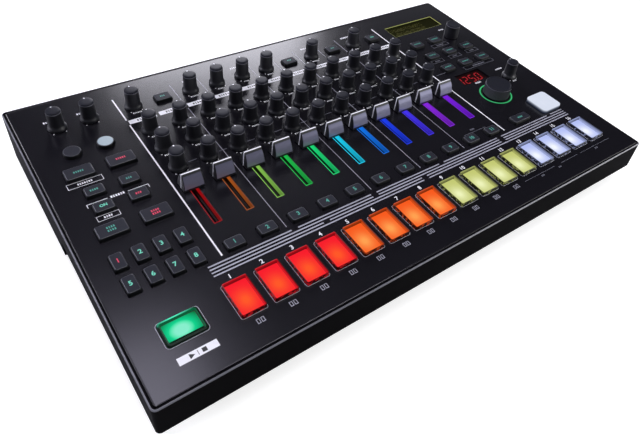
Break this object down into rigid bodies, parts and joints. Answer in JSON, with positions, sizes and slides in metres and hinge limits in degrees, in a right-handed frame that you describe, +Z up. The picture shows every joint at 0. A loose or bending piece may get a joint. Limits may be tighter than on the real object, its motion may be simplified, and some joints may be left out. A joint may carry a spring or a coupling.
{
  "type": "drum machine",
  "caption": "Desktop drum machine: flat panel with rows of knobs, lit faders, step pads and keys, displays and a tempo knob, over a thin case with rear sockets.",
  "frame": {"origin": "on the table under the middle of the case", "axes": "+X along the long front edge to the player's right, +Y from the player to the sockets, +Z up"},
  "size_m": [0.4126, 0.2646, 0.058],
  "materials": {
    "panel": "dark satin paint with a faint violet sheen and printed lines",
    "case_black": "black moulded plastic with a fine grain",
    "rubber": "black rubber",
    "steel": "zinc plated steel screws",
    "board_green": "circuit board with black parts",
    "light_guide": "clear plastic that carries coloured light",
    "display_glass": "thin smoked window",
    "socket_black": "black glossy plastic with nickel contacts",
    "switch_black": "black push button",
    "pad_clear": "translucent key caps lit from below in red, orange, lime and white",
    "start_green": "translucent key cap lit green from below",
    "trigger_white": "white rubber pad lit from below",
    "key_grey": "dark grey key caps",
    "fader_grey": "dark cap with a silver finger face and a white index line",
    "knob_black": "black satin plastic with a white index tick",
    "tempo_black": "black plastic with a ribbed side"
  },
  "bodies": {
    "chassis": {"panel_plate": "panel", "cover_frame": "case_black", "bottom_tray": "case_black", "rubber_feet": "rubber", "case_screws": "steel", "control_board": "board_green", "light_guides": "light_guide", "display_windows": "display_glass", "rear_sockets": "socket_black"},
    "step_pads": {"step_pads": "pad_clear"},
    "start_button": {"start_button": "start_green"},
    "trigger_pad": {"trigger_pad": "trigger_white"},
    "panel_buttons": {"panel_buttons": "key_grey"},
    "fader_caps": {"fader_caps": "fader_grey"},
    "power_switch": {"power_switch": "switch_black"},
    "knob_value": {"knob_value": "knob_black"},
    "knob_tempo": {"knob_tempo": "tempo_black"},
    "knob_volume": {"knob_volume": "knob_black"},
    "knob_ext_in": {"knob_ext_in": "knob_black"},
    "knob_accent": {"knob_accent": "knob_black"},
    "knob_reverb": {"knob_reverb": "knob_black"},
    "knob_delay_level": {"knob_delay_level": "knob_black"},
    "knob_delay_time": {"knob_delay_time": "knob_black"},
    "knob_feedback": {"knob_feedback": "knob_black"},
    "knob_effect": {"knob_effect": "knob_black"},
    "knob_fill": {"knob_fill": "knob_black"},
    "knob_ctrl_01": {"knob_ctrl_01": "knob_black"},
    "knob_ctrl_02": {"knob_ctrl_02": "knob_black"},
    "knob_ctrl_03": {"knob_ctrl_03": "knob_black"},
    "knob_ctrl_04": {"knob_ctrl_04": "knob_black"},
    "knob_ctrl_05": {"knob_ctrl_05": "knob_black"},
    "knob_ctrl_06": {"knob_ctrl_06": "knob_black"},
    "knob_ctrl_07": {"knob_ctrl_07": "knob_black"},
    "knob_ctrl_08": {"knob_ctrl_08": "knob_black"},
    "knob_ctrl_09": {"knob_ctrl_09": "knob_black"},
    "knob_ctrl_10": {"knob_ctrl_10": "knob_black"},
    "knob_ctrl_11": {"knob_ctrl_11": "knob_black"},
    "knob_decay_01": {"knob_decay_01": "knob_black"},
    "knob_decay_02": {"knob_decay_02": "knob_black"},
    "knob_decay_03": {"knob_decay_03": "knob_black"},
    "knob_decay_04": {"knob_decay_04": "knob_black"},
    "knob_decay_05": {"knob_decay_05": "knob_black"},
    "knob_decay_06": {"knob_decay_06": "knob_black"},
    "knob_decay_07": {"knob_decay_07": "knob_black"},
    "knob_decay_08": {"knob_decay_08": "knob_black"},
    "knob_decay_09": {"knob_decay_09": "knob_black"},
    "knob_decay_10": {"knob_decay_10": "knob_black"},
    "knob_decay_11": {"knob_decay_11": "knob_black"},
    "knob_tune_01": {"knob_tune_01": "knob_black"},
    "knob_tune_02": {"knob_tune_02": "knob_black"},
    "knob_tune_03": {"knob_tune_03": "knob_black"},
    "knob_tune_04": {"knob_tune_04": "knob_black"},
    "knob_tune_05": {"knob_tune_05": "knob_black"},
    "knob_tune_06": {"knob_tune_06": "knob_black"},
    "knob_tune_07": {"knob_tune_07": "knob_black"},
    "knob_tune_08": {"knob_tune_08": "knob_black"},
    "knob_tune_09": {"knob_tune_09": "knob_black"},
    "knob_tune_10": {"knob_tune_10": "knob_black"},
    "knob_tune_11": {"knob_tune_11": "knob_black"},
    "knob_shuffle": {"knob_shuffle": "knob_black"}
  },
  "joints": [
    {"name": "fader_slide", "type": "slide", "parent": "chassis", "child": "fader_caps", "axis": [0, -1, 0], "range_m": [0, 0.035]},
    {"name": "step_pad_press", "type": "slide", "parent": "chassis", "child": "step_pads", "axis": [0, 0, -1], "range_m": [0, 0.0015], "stiffness_N_per_m": 800, "springref_m": -0.003},
    {"name": "start_press", "type": "slide", "parent": "chassis", "child": "start_button", "axis": [0, 0, -1], "range_m": [0, 0.0015], "stiffness_N_per_m": 300, "springref_m": -0.003},
    {"name": "trigger_press", "type": "slide", "parent": "chassis", "child": "trigger_pad", "axis": [0, 0, -1], "range_m": [0, 0.0015], "stiffness_N_per_m": 400, "springref_m": -0.003},
    {"name": "panel_button_press", "type": "slide", "parent": "chassis", "child": "panel_buttons", "axis": [0, 0, -1], "range_m": [0, 0.001], "stiffness_N_per_m": 1500, "springref_m": -0.002},
    {"name": "power_switch_press", "type": "slide", "parent": "chassis", "child": "power_switch", "axis": [0, -1, 0], "range_m": [0, 0.002], "stiffness_N_per_m": 800, "springref_m": -0.002},
    {"name": "tempo_turn", "type": "hinge", "parent": "chassis", "child": "knob_tempo", "pos_m": [0.14655, -0.0236, 0.042], "axis": [0, 0, 1], "continuous": true},
    {"name": "value_turn", "type": "hinge", "parent": "chassis", "child": "knob_value", "pos_m": [0.17865, 0.0684, 0.042], "axis": [0, 0, 1], "continuous": true},
    {"name": "volume_turn", "type": "hinge", "parent": "chassis", "child": "knob_volume", "pos_m": [-0.17835, 0.0974, 0.042], "axis": [0, 0, 1], "range_deg": [-150, 150]},
    {"name": "ext_in_turn", "type": "hinge", "parent": "chassis", "child": "knob_ext_in", "pos_m": [-0.15605, 0.0974, 0.042], "axis": [0, 0, 1], "range_deg": [-150, 150]},
    {"name": "accent_turn", "type": "hinge", "parent": "chassis", "child": "knob_accent", "pos_m": [-0.124, 0.0974, 0.042], "axis": [0, 0, 1], "range_deg": [-150, 150]},
    {"name": "reverb_turn", "type": "hinge", "parent": "chassis", "child": "knob_reverb", "pos_m": [-0.0786, 0.0974, 0.042], "axis": [0, 0, 1], "range_deg": [-150, 150]},
    {"name": "delay_level_turn", "type": "hinge", "parent": "chassis", "child": "knob_delay_level", "pos_m": [-0.0559, 0.0974, 0.042], "axis": [0, 0, 1], "range_deg": [-150, 150]},
    {"name": "delay_time_turn", "type": "hinge", "parent": "chassis", "child": "knob_delay_time", "pos_m": [-0.0332, 0.0974, 0.042], "axis": [0, 0, 1], "range_deg": [-150, 150]},
    {"name": "feedback_turn", "type": "hinge", "parent": "chassis", "child": "knob_feedback", "pos_m": [-0.0105, 0.0974, 0.042], "axis": [0, 0, 1], "range_deg": [-150, 150]},
    {"name": "effect_turn", "type": "hinge", "parent": "chassis", "child": "knob_effect", "pos_m": [0.0349, 0.0974, 0.042], "axis": [0, 0, 1], "range_deg": [-150, 150]},
    {"name": "fill_turn", "type": "hinge", "parent": "chassis", "child": "knob_fill", "pos_m": [0.0803, 0.0974, 0.042], "axis": [0, 0, 1], "range_deg": [-150, 150]},
    {"name": "ctrl_01_turn", "type": "hinge", "parent": "chassis", "child": "knob_ctrl_01", "pos_m": [-0.124, 0.0203, 0.042], "axis": [0, 0, 1], "range_deg": [-150, 150]},
    {"name": "ctrl_02_turn", "type": "hinge", "parent": "chassis", "child": "knob_ctrl_02", "pos_m": [-0.1013, 0.0203, 0.042], "axis": [0, 0, 1], "range_deg": [-150, 150]},
    {"name": "ctrl_03_turn", "type": "hinge", "parent": "chassis", "child": "knob_ctrl_03", "pos_m": [-0.0786, 0.0203, 0.042], "axis": [0, 0, 1], "range_deg": [-150, 150]},
    {"name": "ctrl_04_turn", "type": "hinge", "parent": "chassis", "child": "knob_ctrl_04", "pos_m": [-0.0559, 0.0203, 0.042], "axis": [0, 0, 1], "range_deg": [-150, 150]},
    {"name": "ctrl_05_turn", "type": "hinge", "parent": "chassis", "child": "knob_ctrl_05", "pos_m": [-0.0332, 0.0203, 0.042], "axis": [0, 0, 1], "range_deg": [-150, 150]},
    {"name": "ctrl_06_turn", "type": "hinge", "parent": "chassis", "child": "knob_ctrl_06", "pos_m": [-0.0105, 0.0203, 0.042], "axis": [0, 0, 1], "range_deg": [-150, 150]},
    {"name": "ctrl_07_turn", "type": "hinge", "parent": "chassis", "child": "knob_ctrl_07", "pos_m": [0.0122, 0.0203, 0.042], "axis": [0, 0, 1], "range_deg": [-150, 150]},
    {"name": "ctrl_08_turn", "type": "hinge", "parent": "chassis", "child": "knob_ctrl_08", "pos_m": [0.0349, 0.0203, 0.042], "axis": [0, 0, 1], "range_deg": [-150, 150]},
    {"name": "ctrl_09_turn", "type": "hinge", "parent": "chassis", "child": "knob_ctrl_09", "pos_m": [0.0576, 0.0203, 0.042], "axis": [0, 0, 1], "range_deg": [-150, 150]},
    {"name": "ctrl_10_turn", "type": "hinge", "parent": "chassis", "child": "knob_ctrl_10", "pos_m": [0.0803, 0.0203, 0.042], "axis": [0, 0, 1], "range_deg": [-150, 150]},
    {"name": "ctrl_11_turn", "type": "hinge", "parent": "chassis", "child": "knob_ctrl_11", "pos_m": [0.103, 0.0203, 0.042], "axis": [0, 0, 1], "range_deg": [-150, 150]},
    {"name": "decay_01_turn", "type": "hinge", "parent": "chassis", "child": "knob_decay_01", "pos_m": [-0.124, 0.043, 0.042], "axis": [0, 0, 1], "range_deg": [-150, 150]},
    {"name": "decay_02_turn", "type": "hinge", "parent": "chassis", "child": "knob_decay_02", "pos_m": [-0.1013, 0.043, 0.042], "axis": [0, 0, 1], "range_deg": [-150, 150]},
    {"name": "decay_03_turn", "type": "hinge", "parent": "chassis", "child": "knob_decay_03", "pos_m": [-0.0786, 0.043, 0.042], "axis": [0, 0, 1], "range_deg": [-150, 150]},
    {"name": "decay_04_turn", "type": "hinge", "parent": "chassis", "child": "knob_decay_04", "pos_m": [-0.0559, 0.043, 0.042], "axis": [0, 0, 1], "range_deg": [-150, 150]},
    {"name": "decay_05_turn", "type": "hinge", "parent": "chassis", "child": "knob_decay_05", "pos_m": [-0.0332, 0.043, 0.042], "axis": [0, 0, 1], "range_deg": [-150, 150]},
    {"name": "decay_06_turn", "type": "hinge", "parent": "chassis", "child": "knob_decay_06", "pos_m": [-0.0105, 0.043, 0.042], "axis": [0, 0, 1], "range_deg": [-150, 150]},
    {"name": "decay_07_turn", "type": "hinge", "parent": "chassis", "child": "knob_decay_07", "pos_m": [0.0122, 0.043, 0.042], "axis": [0, 0, 1], "range_deg": [-150, 150]},
    {"name": "decay_08_turn", "type": "hinge", "parent": "chassis", "child": "knob_decay_08", "pos_m": [0.0349, 0.043, 0.042], "axis": [0, 0, 1], "range_deg": [-150, 150]},
    {"name": "decay_09_turn", "type": "hinge", "parent": "chassis", "child": "knob_decay_09", "pos_m": [0.0576, 0.043, 0.042], "axis": [0, 0, 1], "range_deg": [-150, 150]},
    {"name": "decay_10_turn", "type": "hinge", "parent": "chassis", "child": "knob_decay_10", "pos_m": [0.0803, 0.043, 0.042], "axis": [0, 0, 1], "range_deg": [-150, 150]},
    {"name": "decay_11_turn", "type": "hinge", "parent": "chassis", "child": "knob_decay_11", "pos_m": [0.103, 0.043, 0.042], "axis": [0, 0, 1], "range_deg": [-150, 150]},
    {"name": "tune_01_turn", "type": "hinge", "parent": "chassis", "child": "knob_tune_01", "pos_m": [-0.124, 0.0657, 0.042], "axis": [0, 0, 1], "range_deg": [-150, 150]},
    {"name": "tune_02_turn", "type": "hinge", "parent": "chassis", "child": "knob_tune_02", "pos_m": [-0.1013, 0.0657, 0.042], "axis": [0, 0, 1], "range_deg": [-150, 150]},
    {"name": "tune_03_turn", "type": "hinge", "parent": "chassis", "child": "knob_tune_03", "pos_m": [-0.0786, 0.0657, 0.042], "axis": [0, 0, 1], "range_deg": [-150, 150]},
    {"name": "tune_04_turn", "type": "hinge", "parent": "chassis", "child": "knob_tune_04", "pos_m": [-0.0559, 0.0657, 0.042], "axis": [0, 0, 1], "range_deg": [-150, 150]},
    {"name": "tune_05_turn", "type": "hinge", "parent": "chassis", "child": "knob_tune_05", "pos_m": [-0.0332, 0.0657, 0.042], "axis": [0, 0, 1], "range_deg": [-150, 150]},
    {"name": "tune_06_turn", "type": "hinge", "parent": "chassis", "child": "knob_tune_06", "pos_m": [-0.0105, 0.0657, 0.042], "axis": [0, 0, 1], "range_deg": [-150, 150]},
    {"name": "tune_07_turn", "type": "hinge", "parent": "chassis", "child": "knob_tune_07", "pos_m": [0.0122, 0.0657, 0.042], "axis": [0, 0, 1], "range_deg": [-150, 150]},
    {"name": "tune_08_turn", "type": "hinge", "parent": "chassis", "child": "knob_tune_08", "pos_m": [0.0349, 0.0657, 0.042], "axis": [0, 0, 1], "range_deg": [-150, 150]},
    {"name": "tune_09_turn", "type": "hinge", "parent": "chassis", "child": "knob_tune_09", "pos_m": [0.0576, 0.0657, 0.042], "axis": [0, 0, 1], "range_deg": [-150, 150]},
    {"name": "tune_10_turn", "type": "hinge", "parent": "chassis", "child": "knob_tune_10", "pos_m": [0.0803, 0.0657, 0.042], "axis": [0, 0, 1], "range_deg": [-150, 150]},
    {"name": "tune_11_turn", "type": "hinge", "parent": "chassis", "child": "knob_tune_11", "pos_m": [0.103, 0.0657, 0.042], "axis": [0, 0, 1], "range_deg": [-150, 150]},
    {"name": "shuffle_turn", "type": "hinge", "parent": "chassis", "child": "knob_shuffle", "pos_m": [0.17865, -0.0093, 0.042], "axis": [0, 0, 1], "range_deg": [-150, 150]}
  ]
}
